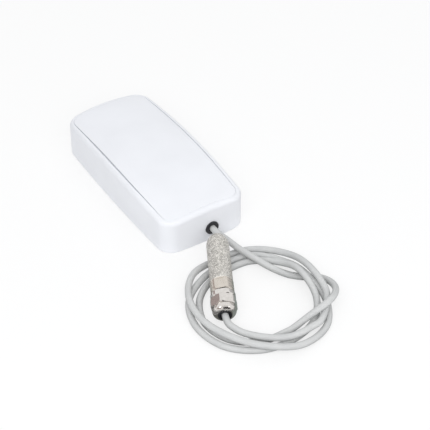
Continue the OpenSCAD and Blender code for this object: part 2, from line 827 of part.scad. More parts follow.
module gland_body() {
    front_end = o_ring_z + front_thread_l;
    color("silver") on_probe() difference() {
        union() {
            translate([0, 0, rear_thread_z]) cylinder(r = rear_thread_r, h = collar_z + 1 - rear_thread_z);
            intersection() {
                translate([0, 0, collar_z]) hex_prism(collar_af, collar_l, 0);
                translate([0, 0, collar_z]) rotate_extrude() polygon([
                    [0, 0],
                    [collar_d / 2 - edge_break, 0],
                    [collar_d / 2, edge_break],
                    [collar_d / 2, collar_l - edge_break],
                    [collar_d / 2 - edge_break, collar_l],
                    [0, collar_l]
                ]);
            }
            translate([0, 0, collar_z + 1]) cylinder(r = front_thread_r, h = front_end - collar_z - 1);
        }
        translate([0, 0, rear_thread_z - 1]) cylinder(r = sleeve_r, h = collar_z - rear_thread_z + 1);
        translate([0, 0, collar_z - 1]) cylinder(r = cable_bore_r, h = nut_l);
        translate([0, 0, pocket_z]) cylinder(r = pocket_r, h = nut_l);
    }
}

// Filter

module probe_o_ring() {
    color("black") on_probe() translate([0, 0, o_ring_z + o_ring_r + probe_seat])
        rotate_extrude() translate([front_thread_r + probe_seat + o_ring_r, 0]) circle(r = o_ring_r);
}

module filter_base() {
    groove_r = front_thread_r + o_ring_t + 2 * probe_seat;
    groove_l = o_ring_r + 2 * probe_seat;
    spigot_end = filter_shell_z + filter_spigot_l;
    outer_r = filter_base_d / 2;
    color("silver") on_probe() difference() {
        union() {
            intersection() {
                translate([0, 0, filter_base_z]) hex_prism(filter_af, filter_base_l, 0);
                translate([0, 0, filter_base_z]) rotate_extrude() polygon([
                    [0, 0],
                    [outer_r - edge_break, 0],
                    [outer_r, edge_break],
                    [outer_r, filter_base_l],
                    [0, filter_base_l]
                ]);
            }
            translate([0, 0, filter_base_z + 1]) cylinder(r = filter_spigot_r, h = spigot_end - filter_base_z - 1);
        }
        translate([0, 0, filter_base_z - 1]) cylinder(r = base_bore_r, h = filter_tip_z);
        translate([0, 0, filter_base_z - 1]) cylinder(r = groove_r, h = groove_l + 1);
    }
}

// Half outline of the filter's bell for a given radius and tip height
function bell(r, tip, low, round_r) = concat(
    [[0, low], [r, low]],
    [for (a = [0 : 15 : 75]) [r - round_r + round_r * cos(a), tip - filter_dome - round_r + round_r * sin(a)]],
    [[r - round_r, tip - filter_dome + filter_dome / 3], [0, tip]]
);

module filter_shell() {
    outer_r = filter_d / 2;
    inner_r = outer_r - filter_wall;
    inner_tip = filter_tip_z - filter_wall;
    color("tan") on_probe() difference() {
        rotate_extrude() polygon(bell(outer_r, filter_tip_z, filter_shell_z, filter_tip_r));
        rotate_extrude() polygon(bell(inner_r, inner_tip, filter_shell_z - 1, filter_tip_r - filter_wall));
        translate([0, 0, filter_shell_z - 1])
            cylinder(r = filter_spigot_r + probe_seat, h = filter_spigot_l + probe_seat + 1);
    }
}

module sensor_board() {
    color("seagreen") on_probe()
        translate([-sensor_board_t / 2, -sensor_board_w / 2, pocket_z])
            cube([sensor_board_t, sensor_board_w, sensor_board_l]);
}

module sensor_chip() {
    color("black") on_probe() translate([-sensor_board_t / 2 - sensor_chip_h, -sensor_chip_w / 2,
        sensor_end_z - 2 * sensor_chip_w]) cube([sensor_chip_h, sensor_chip_w, sensor_chip_w]);
}

housing();
front_panel();
base_plate();
base_seal();
housing_screws();
main_board();
board_screws();
radio_module();
antenna();
main_chip();
status_led();
button_body();
button_plunger();
battery_holder();
battery_cell_left();
battery_cell_right();
battery_springs();
battery_contacts();
board_socket();
cable_plug();
lead_wires();
cable_tie();
cable_grommet();
cable();
gland_nut();
gland_claw();
gland_seal();
gland_body();
probe_o_ring();
filter_base();
filter_shell();
sensor_board();
sensor_chip();
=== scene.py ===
import bmesh
import bpy
import json
import math
from mathutils import Matrix, Vector, noise


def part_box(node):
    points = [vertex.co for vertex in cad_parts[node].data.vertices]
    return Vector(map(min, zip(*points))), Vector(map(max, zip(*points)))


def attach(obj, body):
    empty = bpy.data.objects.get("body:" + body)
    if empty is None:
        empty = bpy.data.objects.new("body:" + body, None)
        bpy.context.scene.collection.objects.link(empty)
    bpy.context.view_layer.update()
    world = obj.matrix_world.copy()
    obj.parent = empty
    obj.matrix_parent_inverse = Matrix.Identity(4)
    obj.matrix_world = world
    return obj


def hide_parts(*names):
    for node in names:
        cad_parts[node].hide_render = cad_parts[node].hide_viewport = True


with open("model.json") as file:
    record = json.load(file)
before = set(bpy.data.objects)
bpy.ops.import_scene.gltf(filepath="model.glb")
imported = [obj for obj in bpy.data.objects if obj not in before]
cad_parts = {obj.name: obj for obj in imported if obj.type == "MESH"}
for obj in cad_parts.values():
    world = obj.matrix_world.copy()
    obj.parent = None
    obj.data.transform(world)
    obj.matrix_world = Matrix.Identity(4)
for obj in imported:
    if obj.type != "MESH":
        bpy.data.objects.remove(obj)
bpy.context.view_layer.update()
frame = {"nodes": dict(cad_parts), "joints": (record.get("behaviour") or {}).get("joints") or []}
nodes = frame["nodes"]
joints = {joint["name"]: joint for joint in frame["joints"]}
scene = bpy.context.scene
mm = 0.001  # pieces are drawn in millimetres and brought to metres when finished
fullTurn = 2 * math.pi
print("frame loaded:", len(nodes), "nodes")

# Camera at the photograph's viewing angle
shot = {
    "azimuth": -32.41,
    "elevation": 41.17,
    "distance": 913.7,
    "target": (16.52, -44.82, 0.0),
    "focalPixels": 1500,
    "imagePixels": 430,
    "sensor": 36.0,
}


def aimCamera():
    data = bpy.data.cameras.new("photoCamera")
    data.sensor_width = shot["sensor"]
    data.lens = shot["focalPixels"] / shot["imagePixels"] * shot["sensor"]
    camera = bpy.data.objects.new("photoCamera", data)
    scene.collection.objects.link(camera)
    turn = math.radians(shot["azimuth"])
    rise = math.radians(shot["elevation"])
    back = Vector((math.sin(turn) * math.cos(rise), -math.cos(turn) * math.cos(rise), math.sin(rise)))
    camera.location = (Vector(shot["target"]) + back * shot["distance"]) * mm
    camera.rotation_mode = "QUATERNION"
    camera.rotation_quaternion = (-back).to_track_quat("-Z", "Y")
    scene.camera = camera


aimCamera()
print("camera set")

# Studio: a pale floor, a soft sky and large soft lamps
studio = {
    "floorSide": 6.0,
    "floorDrop": 0.1,
    "floorColour": (0.88, 0.88, 0.88, 1),
    "floorWhite": (1.02, 1.02, 1.02, 1),
    "floorWhiteShare": 0.7,
    "coilMiddle": (-2, -128, 0),
    "coilReach": (32, 62),
    # painted shade of the floor round the coil, for bounced and mirrored rays
    "coilShadeColour": (0.22, 0.22, 0.22),
    "skyColour": (0.97, 0.985, 1.0, 1),
    "skyLevel": 0.6,
    "skyWhite": (0.98, 0.98, 0.98, 1),
    "lamps": [
        # name, place in metres, side in metres, watts
        ("keyLamp", (-0.75, -0.75, 1.05), 0.9, 7.2),
        ("frontLamp", (-0.08, -0.80, 0.65), 0.8, 3.1),
        ("backLamp", (0.75, 0.75, 1.0), 1.4, 3.5),
    ],
}


def raysSeen(tree):
    # 1 for rays that show the background itself: straight, mirrored or through glass
    path = tree.nodes.new("ShaderNodeLightPath")
    seen = path.outputs["Is Camera Ray"]
    for ray in ("Is Glossy Ray", "Is Transmission Ray"):
        either = tree.nodes.new("ShaderNodeMath")
        either.operation = "MAXIMUM"
        tree.links.new(seen, either.inputs[0])
        tree.links.new(path.outputs[ray], either.inputs[1])
        seen = either.outputs[0]
    return seen


def bounceColour(tree):
    # painted shade: for every ray but the camera's the floor is darker round the coil, so it throws less
    # light back onto the cable's undersides; the camera sees it evenly pale
    coordinates = tree.nodes.new("ShaderNodeTexCoord")
    away = tree.nodes.new("ShaderNodeVectorMath")
    away.operation = "DISTANCE"
    away.inputs[1].default_value = Vector(studio["coilMiddle"]) * mm
    tree.links.new(coordinates.outputs["Object"], away.inputs[0])
    reach = tree.nodes.new("ShaderNodeMapRange")
    near, far = studio["coilReach"]
    reach.inputs["From Min"].default_value = near * mm
    reach.inputs["From Max"].default_value = far * mm
    tree.links.new(away.outputs["Value"], reach.inputs["Value"])
    path = tree.nodes.new("ShaderNodeLightPath")
    pale = tree.nodes.new("ShaderNodeMath")
    pale.operation = "MAXIMUM"
    tree.links.new(reach.outputs["Result"], pale.inputs[0])
    tree.links.new(path.outputs["Is Camera Ray"], pale.inputs[1])
    ramp = tree.nodes.new("ShaderNodeValToRGB")
    ramp.color_ramp.elements[0].color = (*studio["coilShadeColour"], 1)
    ramp.color_ramp.elements[1].color = studio["floorColour"]
    tree.links.new(pale.outputs[0], ramp.inputs["Fac"])
    return ramp.outputs["Color"]


def layFloor():
    bm = bmesh.new()
    bmesh.ops.create_grid(bm, x_segments=1, y_segments=1, size=studio["floorSide"] / 2)
    bmesh.ops.translate(bm, verts=bm.verts, vec=(0, 0, -studio["floorDrop"] * mm))
    mesh = bpy.data.meshes.new("floor")
    bm.to_mesh(mesh)
    bm.free()
    floor = bpy.data.objects.new("floor", mesh)
    scene.collection.objects.link(floor)
    material = bpy.data.materials.new("floorPaper")
    material.use_nodes = True
    tree = material.node_tree
    tree.nodes.clear()
    paper = tree.nodes.new("ShaderNodeBsdfDiffuse")
    tree.links.new(bounceColour(tree), paper.inputs["Color"])
    white = tree.nodes.new("ShaderNodeEmission")
    white.inputs["Color"].default_value = studio["floorWhite"]
    share = tree.nodes.new("ShaderNodeMath")
    share.operation = "MULTIPLY"
    share.inputs[1].default_value = studio["floorWhiteShare"]
    tree.links.new(raysSeen(tree), share.inputs[0])
    both = tree.nodes.new("ShaderNodeMixShader")
    tree.links.new(share.outputs[0], both.inputs[0])
    tree.links.new(paper.outputs[0], both.inputs[1])
    tree.links.new(white.outputs[0], both.inputs[2])
    output = tree.nodes.new("ShaderNodeOutputMaterial")
    tree.links.new(both.outputs[0], output.inputs["Surface"])
    mesh.materials.append(material)


def lightSky():
    world = bpy.data.worlds.new("softSky")
    world.use_nodes = True
    scene.world = world
    tree = world.node_tree
    tree.nodes.clear()
    sky = tree.nodes.new("ShaderNodeBackground")
    sky.inputs["Color"].default_value = studio["skyColour"]
    sky.inputs["Strength"].default_value = studio["skyLevel"]
    white = tree.nodes.new("ShaderNodeBackground")
    white.inputs["Color"].default_value = studio["skyWhite"]
    both = tree.nodes.new("ShaderNodeMixShader")
    tree.links.new(raysSeen(tree), both.inputs[0])
    tree.links.new(sky.outputs[0], both.inputs[1])
    tree.links.new(white.outputs[0], both.inputs[2])
    output = tree.nodes.new("ShaderNodeOutputWorld")
    tree.links.new(both.outputs[0], output.inputs["Surface"])


def hangLamps():
    aim = Vector(shot["target"]) * mm
    for name, place, side, watts in studio["lamps"]:
        data = bpy.data.lights.new(name, "AREA")
        data.shape = "SQUARE"
        data.size = side
        data.energy = watts
        lamp = bpy.data.objects.new(name, data)
        lamp.location = place
        lamp.visible_glossy = False  # shiny pieces mirror the cards instead
        lamp.rotation_mode = "QUATERNION"
        lamp.rotation_quaternion = (aim - Vector(place)).to_track_quat("-Z", "Y")
        scene.collection.objects.link(lamp)


# Cards that only the shiny metal mirrors, as it mirrors its surroundings in the photograph
# painted reflections: dark and pale glowing cards seen in nothing but reflections; leftGleam and rightGleam
# are painted highlights
cards = [
    # name, middle in millimetres, size, facing, colour
    ("floorCardLeft", (-57, -140, 0.02), (66, 110), (0, 0, 1), (0.15, 0.155, 0.145, 1)),
    ("floorCardRight", (16, -140, 0.02), (80, 110), (0, 0, 1), (0.28, 0.315, 0.30, 1)),
    ("floorCardFar", (158, -85, 0.02), (204, 130), (0, 0, 1), (0.30, 0.33, 0.31, 1)),
    ("frontCard", (-90, -440, 130), (330, 270), (0.1, 0.9, -0.3), (0.06, 0.055, 0.055, 1)),
    ("backCard", (-140, 90, 50), (190, 110), (0.37, -0.92, 0), (0.44, 0.375, 0.365, 1)),
    ("upperCard", (-88, -276, 262), (300, 46), (0.2, 0.5, -0.84), (0.30, 0.29, 0.28, 1)),
    ("rightCard", (250, -40, 60), (220, 150), (-0.93, -0.3, -0.2), (0.56, 0.56, 0.57, 1)),
    ("leftCard", (-290, -185, 140), (260, 200), (0.85, 0.2, -0.45), (0.42, 0.37, 0.36, 1)),
    ("leftGleam", (-208, -164, 153), (85, 75), (0.77, 0.17, -0.61), (3, 3, 3, 1)),
    ("rightGleam", (54, -361, 181), (90, 60), (-0.27, 0.78, -0.56), (2.2, 2.2, 2.2, 1)),
]


def standCards():
    for name, middle, size, facing, colour in cards:
        bm = bmesh.new()
        bmesh.ops.create_grid(bm, x_segments=1, y_segments=1, size=0.5)
        bmesh.ops.scale(bm, verts=bm.verts, vec=(size[0] * mm, size[1] * mm, 1))
        turned = Vector(facing).to_track_quat("Z", "Y").to_matrix().to_4x4()
        bmesh.ops.transform(bm, matrix=Matrix.Translation(Vector(middle) * mm) @ turned, verts=bm.verts)
        mesh = bpy.data.meshes.new(name)
        bm.to_mesh(mesh)
        bm.free()
        material = bpy.data.materials.new(name)
        material.use_nodes = True
        tree = material.node_tree
        tree.nodes.clear()
        glow = tree.nodes.new("ShaderNodeEmission")
        glow.inputs["Color"].default_value = colour
        output = tree.nodes.new("ShaderNodeOutputMaterial")
        tree.links.new(glow.outputs[0], output.inputs["Surface"])
        mesh.materials.append(material)
        card = bpy.data.objects.new(name, mesh)
        # seen in nothing but reflections: a painted reflection
        card.visible_camera = False
        card.visible_diffuse = False
        card.visible_transmission = False
        card.visible_shadow = False
        scene.collection.objects.link(card)


scene.view_settings.view_transform = "Standard"
layFloor()
lightSky()
hangLamps()
standCards()
print("studio lit")

# Finishes: colour, gloss and fine relief vary with noise on Object coordinates
noiseSpan = (0.3, 0.7)  # most of the noise lies between these


def startMaterial(name):
    material = bpy.data.materials.new(name)
    material.use_nodes = True
    tree = material.node_tree
    return material, tree, tree.nodes["Principled BSDF"]


def speckle(tree, size, detail=2.0):
    # noise whose patches are about this many millimetres across
    coordinates = tree.nodes.new("ShaderNodeTexCoord")
    texture = tree.nodes.new("ShaderNodeTexNoise")
    texture.inputs["Scale"].default_value = 1 / (size * mm)
    texture.inputs["Detail"].default_value = detail
    tree.links.new(coordinates.outputs["Object"], texture.inputs["Vector"])
    return texture.outputs[0]


def tint(tree, source, stops):
    ramp = tree.nodes.new("ShaderNodeValToRGB")
    while len(ramp.color_ramp.elements) < len(stops):
        ramp.color_ramp.elements.new(0.5)
    for element, (place, colour) in zip(ramp.color_ramp.elements, stops):
        element.position = place
        element.color = (*colour, 1)
    tree.links.new(source, ramp.inputs["Fac"])
    return ramp.outputs["Color"]


def spread(tree, source, low, high):
    reach = tree.nodes.new("ShaderNodeMapRange")
    reach.inputs["From Min"].default_value = noiseSpan[0]
    reach.inputs["From Max"].default_value = noiseSpan[1]
    reach.inputs["To Min"].default_value = low
    reach.inputs["To Max"].default_value = high
    tree.links.new(source, reach.inputs["Value"])
    return reach.outputs["Result"]


def relief(tree, shader, source, depth):
    bump = tree.nodes.new("ShaderNodeBump")
    bump.inputs["Strength"].default_value = 1.0
    bump.inputs["Distance"].default_value = depth * mm
    tree.links.new(source, bump.inputs["Height"])
    tree.links.new(bump.outputs["Normal"], shader.inputs["Normal"])


# name: darker and lighter colour, patch size, roughness, grain size, grain depth, metallic
finishes = {
    "whitePlastic": ((0.805, 0.815, 0.85), (0.835, 0.845, 0.88), 22, (0.40, 0.48), 0.22, 0.004, 0),
    "panelPlastic": ((0.81, 0.82, 0.855), (0.84, 0.85, 0.885), 30, (0.34, 0.42), 0.16, 0.003, 0),
    "basePlastic": ((0.68, 0.69, 0.70), (0.73, 0.74, 0.75), 15, (0.45, 0.55), 0.3, 0.008, 0),
    "blackRubber": ((0.008, 0.008, 0.011), (0.016, 0.016, 0.021), 3, (0.50, 0.66), 0.15, 0.010, 0),
    "blackPlastic": ((0.012, 0.012, 0.014), (0.026, 0.026, 0.030), 4, (0.30, 0.45), 0.2, 0.006, 0),
    "palePlastic": ((0.70, 0.66, 0.57), (0.78, 0.74, 0.65), 4, (0.35, 0.5), 0.2, 0.006, 0),
    "screwSteel": ((0.50, 0.50, 0.50), (0.64, 0.63, 0.62), 1.5, (0.25, 0.40), 0.1, 0.004, 1),
    "contactMetal": ((0.60, 0.59, 0.56), (0.74, 0.73, 0.70), 2, (0.20, 0.35), 0.15, 0.004, 1),
    "tinShield": ((0.62, 0.62, 0.62), (0.72, 0.72, 0.71), 5, (0.25, 0.38), 0.3, 0.005, 1),
    "boardLaminate": ((0.010, 0.085, 0.035), (0.020, 0.150, 0.060), 1.2, (0.28, 0.42), 0.25, 0.010, 0),
    "ledLens": ((0.55, 0.70, 0.50), (0.70, 0.82, 0.62), 0.6, (0.10, 0.20), 0.1, 0.002, 0),
    "cellWrap": ((0.05, 0.10, 0.24), (0.09, 0.16, 0.34), 8, (0.22, 0.35), 0.4, 0.004, 0),
    "wireInsulation": ((0.36, 0.03, 0.03), (0.48, 0.06, 0.05), 1.5, (0.35, 0.5), 0.12, 0.004, 0),
}


def mixFinish(name):
    darker, lighter, patch, rough, grain, depth, metallic = finishes[name]
    material, tree, shader = startMaterial(name)
    patches = speckle(tree, patch)
    tree.links.new(tint(tree, patches, [(0.35, darker), (0.65, lighter)]), shader.inputs["Base Color"])
    tree.links.new(spread(tree, patches, *rough), shader.inputs["Roughness"])
    shader.inputs["Metallic"].default_value = metallic
    relief(tree, shader, speckle(tree, grain), depth)
    return material


# name: darker and lighter colour, cloud size, roughness and its patch size, grain size and depth, metallic
cloudedFinishes = {
    "cableJacket": ((0.545, 0.55, 0.55), (0.60, 0.605, 0.60), 14, (0.42, 0.58), 2.5, 0.35, 0.012, 0),
    "nickelPlate": ((0.68, 0.65, 0.62), (0.77, 0.74, 0.71), 2.2, (0.12, 0.20), 1.4, 1.2, 0.003, 1),
    "filterSteel": ((0.64, 0.59, 0.53), (0.72, 0.67, 0.61), 3.0, (0.24, 0.32), 0.9, 1.5, 0.0006, 1),
}
cloudDetail = 3.0


def mixCloudedFinish(name):
    darker, lighter, cloudSize, rough, roughPatch, grain, depth, metallic = cloudedFinishes[name]
    material, tree, shader = startMaterial(name)
    cloud = speckle(tree, cloudSize, cloudDetail)
    colour = tint(tree, cloud, list(zip(noiseSpan, (darker, lighter))))
    tree.links.new(colour, shader.inputs["Base Color"])
    tree.links.new(spread(tree, speckle(tree, roughPatch), *rough), shader.inputs["Roughness"])
    shader.inputs["Metallic"].default_value = metallic
    relief(tree, shader, speckle(tree, grain), depth)
    return material


sinter = {
    # colours from the tops of the grains to the gaps between them; the dark end is painted shade
    "stops": [(0.0, (0.93, 0.905, 0.86)), (0.45, (0.74, 0.715, 0.67)), (1.0, (0.25, 0.235, 0.215))],
    "metallic": 0.15,
    "rough": (0.38, 0.55),
    "roughPatch": 0.5,
    "grain": 0.18,
    "depth": 0.02,
}


def mixSinteredMetal():
    # the attribute pore is 0 on top of a grain and 1 in the gaps between grains; the colour darkens with it,
    # painted shade in the gaps over a random cloudy tone
    material, tree, shader = startMaterial("sinteredMetal")
    pore = tree.nodes.new("ShaderNodeAttribute")
    pore.attribute_name = "pore"
    tree.links.new(tint(tree, pore.outputs["Fac"], sinter["stops"]), shader.inputs["Base Color"])
    shader.inputs["Metallic"].default_value = sinter["metallic"]
    rough = spread(tree, speckle(tree, sinter["roughPatch"]), *sinter["rough"])
    tree.links.new(rough, shader.inputs["Roughness"])
    relief(tree, shader, speckle(tree, sinter["grain"]), sinter["depth"])
    return material


looks = {name: mixFinish(name) for name in finishes}
looks.update({name: mixCloudedFinish(name) for name in cloudedFinishes})
looks["sinteredMetal"] = mixSinteredMetal()
print("finishes mixed:", len(looks))

# Making and finishing a piece
tools = {
    "sharpAngle": 38,
    "crispAngle": 14,
    "crisp": ("nickelPlate", "filterSteel"),
    "mergeGap": 0.002,
    "roundSteps": 8,
}


def closeMesh(bm):
    bmesh.ops.remove_doubles(bm, verts=bm.verts, dist=tools["mergeGap"])
    bmesh.ops.delete(bm, geom=[edge for edge in bm.edges if not edge.link_faces], context="EDGES")
    bmesh.ops.recalc_face_normals(bm, faces=bm.faces)


def makeObject(name, bm):
    mesh = bpy.data.meshes.new(name)
    bm.to_mesh(mesh)
    bm.free()
    made = bpy.data.objects.new(name, mesh)
    scene.collection.objects.link(made)
    return made


def carve(piece, operation, bm):
    # joins or cuts a piece with a tool that is thrown away afterwards
    tool = makeObject("tool", bm)
    step = piece.modifiers.new("carve", "BOOLEAN")
    step.operation = operation
    step.solver = "EXACT"
    step.object = tool
    graph = bpy.context.evaluated_depsgraph_get()
    carved = bpy.data.meshes.new_from_object(piece.evaluated_get(graph))
    piece.modifiers.clear()
    plain = piece.data
    piece.data = carved
    bpy.data.meshes.remove(plain)
    bpy.data.objects.remove(tool)


def finishPiece(piece, look, slot, body, *replaced):
    mesh = piece.data
    mesh.transform(Matrix.Scale(mm, 4))
    mesh.materials.clear()
    mesh.materials.append(looks[look])
    mesh.shade_smooth()
    edge = tools["crispAngle"] if look in tools["crisp"] else tools["sharpAngle"]
    mesh.set_sharp_from_angle(angle=math.radians(edge))
    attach(piece, body)
    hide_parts(*replaced)
    print("made", piece.name, len(mesh.polygons), "faces")
    return piece


def turnProfile(bm, profile, steps, spacing):
    # spins a closed section round +Z; each corner is radius, height and rounding
    corners = [bm.verts.new((radius, 0, height)) for radius, height, rounding in profile]
    face = bm.faces.new(corners)
    for corner, (radius, height, rounding) in zip(corners, profile):
        if rounding:
            bmesh.ops.bevel(
                bm, geom=[corner], offset=rounding, offset_type="OFFSET", affect="VERTICES",
                segments=tools["roundSteps"], profile=0.5, material=-1,
            )
    bmesh.ops.delete(bm, geom=bm.faces[:], context="FACES_ONLY")
    for edge in bm.edges[:]:
        cuts = int(edge.calc_length() / spacing)
        if cuts:
            bmesh.ops.subdivide_edges(bm, edges=[edge], cuts=cuts)
    bmesh.ops.spin(
        bm, geom=bm.verts[:] + bm.edges[:], cent=(0, 0, 0), axis=(0, 0, 1), dvec=(0, 0, 0),
        angle=fullTurn, steps=steps, use_merge=True, use_duplicate=False,
    )
    closeMesh(bm)


def post(bm, x, y, low, high, radius, steps=40):
    # plain cylinder between two heights
    made = bmesh.ops.create_cone(
        bm, cap_ends=True, segments=steps, radius1=radius, radius2=radius, depth=high - low,
    )
    bmesh.ops.translate(bm, verts=made["verts"], vec=(x, y, (low + high) / 2))


def fourCorners(x, y):
    return [(sx * x, sy * y) for sx in (-1, 1) for sy in (-1, 1)]


# The box: a rounded rectangle that swells, under a crown
box = {
    "length": 125,
    "width": 60,
    "height": 29,
    "sideBulge": 1.6,
    "endBulge": 1.3,
    "corner": 9,
    "cornerSteps": 12,
    "crownSide": 3.5,
    "crownEnd": 4.2,
    "rimWidth": 2.4,
    "rimHeight": 2.8,
    "rimSteps": 9,
    "foot": 1.0,
    "footSteps": 5,
    "holdRing": 0.4,
    "wall": 2.2,
    "roof": 2.2,
    "spacing": 3.2,
    "shares": (0.1, 0.25, 0.4, 0.55, 0.7, 0.82, 0.92, 1.0),
}
panel = {
    "inset": 3.4,
    "wider": 0.68,
    "widerFrom": (-54, -16),
    "slitAtEnds": 0.06,
    "leftSlit": {"wide": 0.8, "near": (-10, -56), "far": (24, 61)},
    "rightSlit": {"wide": 0.48, "near": (-30, -58), "far": (42, 57)},
    "thick": 1.6,
    "seat": 0.15,
    "edge": 0.2,
    "edgeSteps": 5,
    "recessSteps": 4,
    "holdRing": 0.2,
}
halfWidth = box["width"] / 2 - box["sideBulge"]
halfLength = box["length"] / 2 - box["endBulge"]
recessDepth = panel["thick"] + panel["seat"]
ceilingDepth = recessDepth + box["roof"]


def crownAt(x, y):
    across = 2 * x / box["width"]
    along = 2 * y / box["length"]
    return box["height"] - box["crownSide"] * across ** 2 - box["crownEnd"] * along ** 2


def startOutline(bm):
    # a ring of points, each with its foot on the rectangle of the corners' middles and the way out from it
    corners = [(x * halfWidth, y * halfLength, 0) for x, y in ((1, 1), (-1, 1), (-1, -1), (1, -1))]
    face = bm.faces.new([bm.verts.new(corner) for corner in corners])
    bmesh.ops.bevel(
        bm, geom=face.verts[:], offset=box["corner"], offset_type="OFFSET", affect="VERTICES",
        segments=box["cornerSteps"], profile=0.5, material=-1,
    )
    bmesh.ops.delete(bm, geom=bm.faces[:], context="FACES_ONLY")
    for edge in bm.edges[:]:
        cuts = int(edge.calc_length() / box["spacing"])
        if cuts:
            bmesh.ops.subdivide_edges(bm, edges=[edge], cuts=cuts)
    made = bmesh.ops.contextual_create(bm, geom=bm.edges[:])
    ring = list(made["faces"][0].verts)
    bmesh.ops.delete(bm, geom=bm.faces[:], context="FACES_ONLY")
    coreX = halfWidth - box["corner"]
    coreY = halfLength - box["corner"]
    feet = []
    for vert in ring:
        core = Vector((max(-coreX, min(coreX, vert.co.x)), max(-coreY, min(coreY, vert.co.y))))
        feet.append((core, (vert.co.xy - core).normalized()))
    return ring, feet


def outlinePoint(foot, inset):
    # a point that far inside the swelling outline
    core, outward = foot
    flat = core + outward * (box["corner"] - inset)
    across = 1 - (flat.y / halfLength) ** 2
    along = 1 - (flat.x / halfWidth) ** 2
    return Vector((flat.x + flat.x * box["sideBulge"] / halfWidth * across,
                   flat.y + flat.y * box["endBulge"] / halfLength * along))


# Heights of a ring: level, under the crown, or on the rounded rim


def level(height):
    return lambda foot, point: height


def underCrown(depth):
    return lambda foot, point: crownAt(point.x, point.y) - depth


def onRim(turn):
    drop = box["rimHeight"] * (1 - math.sin(turn))
    return lambda foot, point: crownAt(*outlinePoint(foot, box["rimWidth"])) - drop


def seam(offset=0):
    # the panel's edge runs nearer to the outline along the middle and the far end than at the near end
    low, high = panel["widerFrom"]

    def insetOf(foot):
        along = foot[0].y + foot[1].y * box["corner"]
        share = max(0.0, min(1.0, (along - low) / (high - low)))
        return panel["inset"] - panel["wider"] * share + offset
    return insetOf


def setRing(ring, feet, gapAt, inset, share, heightOf):
    # share draws the ring in towards the middle
    for vert, foot in zip(ring, feet):
        reach = inset(foot) if callable(inset) else inset
        point = outlinePoint(foot, reach + gapAt(foot)) * share
        vert.co = (point.x, point.y, heightOf(foot, point))


def nextRing(bm, ring):
    edges = [bm.edges.get((ring[i - 1], ring[i])) for i in range(len(ring))]
    made = bmesh.ops.extrude_edge_only(bm, edges=edges)
    fresh = {item for item in made["geom"] if isinstance(item, bmesh.types.BMVert)}
    return [next(e.other_vert(v) for e in v.link_edges if e.other_vert(v) in fresh) for v in ring]


def closeRing(bm, ring, height):
    face = bm.faces.new(ring)
    middle = bmesh.ops.poke(bm, faces=[face])["verts"][0]
    middle.co = (0, 0, height)


def loftBox(levels, firstHeight, lastHeight, gapAt=lambda foot: 0):
    # rings from the first level to the last, closed at both ends
    bm = bmesh.new()
    ring, feet = startOutline(bm)
    setRing(ring, feet, gapAt, *levels[0])
    closeRing(bm, ring, firstHeight)
    for step in levels[1:]:
        ring = nextRing(bm, ring)
        setRing(ring, feet, gapAt, *step)
    closeRing(bm, ring, lastHeight)
    closeMesh(bm)
    return bm


def quarter(count):
    return [math.radians(90 * i / count) for i in range(count + 1)]


housingFit = {
    "screwX": 20.5,
    "screwY": 51,
    "screwHole": 1.6,
    "counterbore": 2.85,
    "screwSeat": 17,
    "tube": 4.15,
    "tubeLow": 12,
    "pegX": 14,
    "pegY": 43.5,
    "pegHole": 1.7,
    "peg": 1.5,
    "pegTip": 0.6,
    "cableX": 3,
    "cableZ": 9.8,
    "cableHole": 3.3,
    "cableHoleSteps": 48,
}
exitPlace = Matrix.Translation((housingFit["cableX"], -box["length"] / 2, housingFit["cableZ"]))
cableExit = exitPlace @ Matrix.Rotation(math.radians(90), 4, "X")


def makeHousing():
    edge = panel["edge"]
    levels = [(box["wall"], share, underCrown(ceilingDepth)) for share in box["shares"]]
    levels += [(box["wall"], 1, level(0))]
    rounding, hold = box["foot"], box["holdRing"]
    for t in quarter(box["footSteps"]):
        levels += [(rounding * (1 - math.sin(t)), 1, level(rounding * (1 - math.cos(t))))]
    levels += [(0, 1, level(rounding + hold))]
    levels += [(0, 1, lambda foot, point: onRim(0)(foot, point) - hold)]
    levels += [(box["rimWidth"] * (1 - math.cos(t)), 1, onRim(t)) for t in quarter(box["rimSteps"])]
    for t in quarter(panel["recessSteps"]):
        levels += [(seam(-edge * (1 - math.sin(t))), 1, underCrown(edge * (1 - math.cos(t))))]
    levels += [(seam(), 1, underCrown(recessDepth - edge))]
    levels += [(seam(), share, underCrown(recessDepth)) for share in reversed(box["shares"])]
    ceiling, recess = box["height"] - ceilingDepth, box["height"] - recessDepth
    shell = makeObject("housingShell", loftBox(levels, ceiling, recess))
    fit = housingFit
    roofMiddle = crownAt(fit["screwX"], fit["screwY"]) - recessDepth - box["roof"] / 2
    tubes = bmesh.new()
    for x, y in fourCorners(fit["screwX"], fit["screwY"]):
        post(tubes, x, y, fit["tubeLow"], roofMiddle, fit["tube"])
    carve(shell, "UNION", tubes)
    holes = bmesh.new()
    for x, y in fourCorners(fit["pegX"], fit["pegY"]):
        post(holes, x, y, fit["tubeLow"], box["height"], fit["pegHole"])
    for x, y in fourCorners(fit["screwX"], fit["screwY"]):
        post(holes, x, y, fit["screwSeat"], box["height"], fit["counterbore"])
    made = bmesh.ops.create_cone(
        holes, cap_ends=True, segments=fit["cableHoleSteps"], radius1=fit["cableHole"],
        radius2=fit["cableHole"], depth=6 * box["wall"],
    )
    bmesh.ops.transform(holes, matrix=cableExit, verts=made["verts"])
    carve(shell, "DIFFERENCE", holes)
    bores = bmesh.new()
    for x, y in fourCorners(fit["screwX"], fit["screwY"]):
        post(bores, x, y, 0, box["height"], fit["screwHole"])
    carve(shell, "DIFFERENCE", bores)
    return finishPiece(shell, "whitePlastic", "white_plastic", "box", "housing")


def slitAt(foot):
    # the slit is open along the long sides, wider on the left, and nearly shut at both ends
    slit = panel["leftSlit"] if foot[0].x < 0 else panel["rightSlit"]
    along = foot[0].y + foot[1].y * box["corner"]
    start, end = slit["far"] if along > 0 else slit["near"]
    shut = max(0.0, min(1.0, (along - start) / (end - start)))
    return slit["wide"] + (panel["slitAtEnds"] - slit["wide"]) * shut


